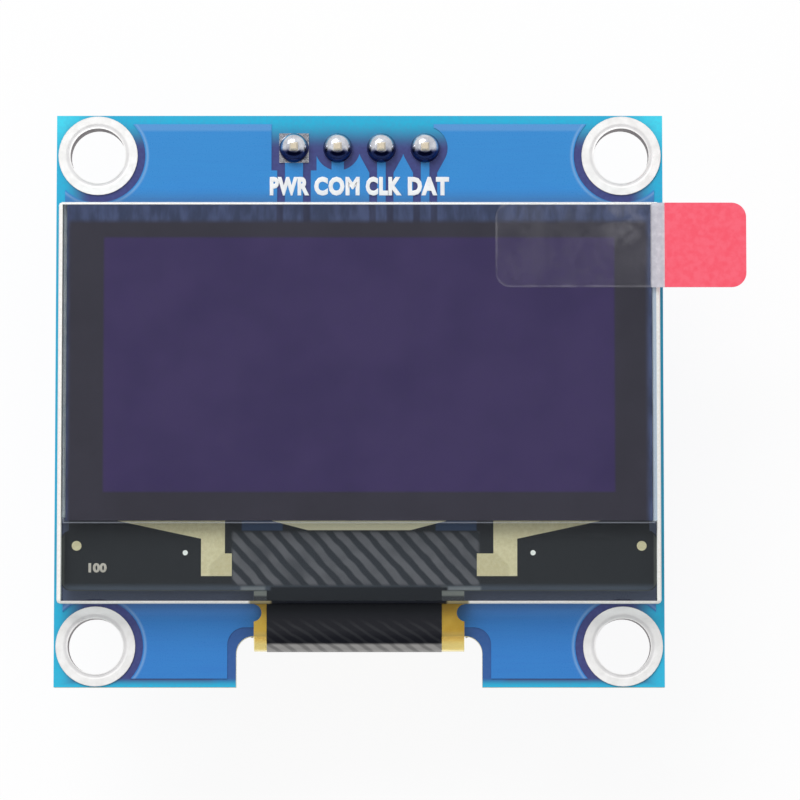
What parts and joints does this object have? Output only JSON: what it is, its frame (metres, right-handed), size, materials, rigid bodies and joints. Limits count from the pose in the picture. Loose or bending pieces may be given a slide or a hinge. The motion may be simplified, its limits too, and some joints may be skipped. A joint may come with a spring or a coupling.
{
  "type": "small oled display module",
  "caption": "Flat display module: a dark glass panel on a blue circuit board with a pin header, corner mounting holes, a folded flexible film and a row of chip parts behind.",
  "frame": {"origin": "centre of the four mounting holes, on the front face of the circuit board", "axes": "+Z out of the front face, towards the viewer of the display; +Y towards the edge with the pin header; +X to the right as the display is read, along its long side"},
  "size_m": [0.0399, 0.0332, 0.0117],
  "materials": {
    "laminate": "glass-fibre laminate under blue lacquer",
    "front_lacquer": "glossy blue lacquer over copper",
    "back_lacquer": "glossy blue lacquer over copper",
    "white_print": "white ink",
    "tin": "bright tin plate",
    "foam": "white foam tape",
    "clear_glass": "clear glass with ground edges",
    "picture": "dark violet light-emitting layer",
    "dark_polariser": "smooth dark grey film",
    "clear_film": "clear film",
    "red_film": "glossy red film",
    "silicon": "polished dark grey",
    "amber_film": "translucent amber film",
    "black_coat": "glossy black coat",
    "gold": "gold plate",
    "solder": "bright solder",
    "yellow_plastic": "moulded yellow plastic",
    "pin_metal": "gold-flashed pins",
    "tan_ceramic": "fired tan ceramic",
    "black_ceramic": "black glaze",
    "grey_moulding": "moulded dark grey resin",
    "dark_moulding": "moulded black resin"
  },
  "bodies": {
    "root": {"circuit_board": "laminate", "front_copper": "front_lacquer", "back_copper": "back_lacquer", "hole_plating_1": "tin", "hole_plating_2": "tin", "hole_plating_3": "tin", "hole_plating_4": "tin", "back_legend": "white_print", "pin_pads": "tin", "chip_pads": "tin", "foam_tape": "foam", "rear_glass": "clear_glass", "picture_layer": "picture", "display_glass": "clear_glass", "polariser": "dark_polariser", "protective_film": "clear_film", "pull_sticker": "clear_film", "pull_tab": "red_film", "driver_chip": "silicon", "flex_film": "amber_film", "flex_coat": "black_coat", "ledge_contacts": "gold", "flex_tracks": "gold", "flex_joints": "solder", "header_body": "yellow_plastic", "header_pin_1": "pin_metal", "header_pin_2": "pin_metal", "header_pin_3": "pin_metal", "header_pin_4": "pin_metal", "solder_cone_1": "solder", "solder_cone_2": "solder", "solder_cone_3": "solder", "solder_cone_4": "solder", "capacitor_1": "tan_ceramic", "capacitor_2": "tan_ceramic", "capacitor_3": "tan_ceramic", "capacitor_4": "tan_ceramic", "capacitor_5": "tan_ceramic", "capacitor_6": "tan_ceramic", "capacitor_7": "tan_ceramic", "capacitor_8": "tan_ceramic", "resistor_1": "black_ceramic", "resistor_2": "black_ceramic", "resistor_3": "black_ceramic", "resistor_4": "black_ceramic", "resistor_5": "black_ceramic", "address_link": "black_ceramic", "diode": "grey_moulding", "regulator": "dark_moulding", "regulator_leads": "tin", "chip_caps": "tin", "chip_solder": "solder"}
  },
  "joints": []
}
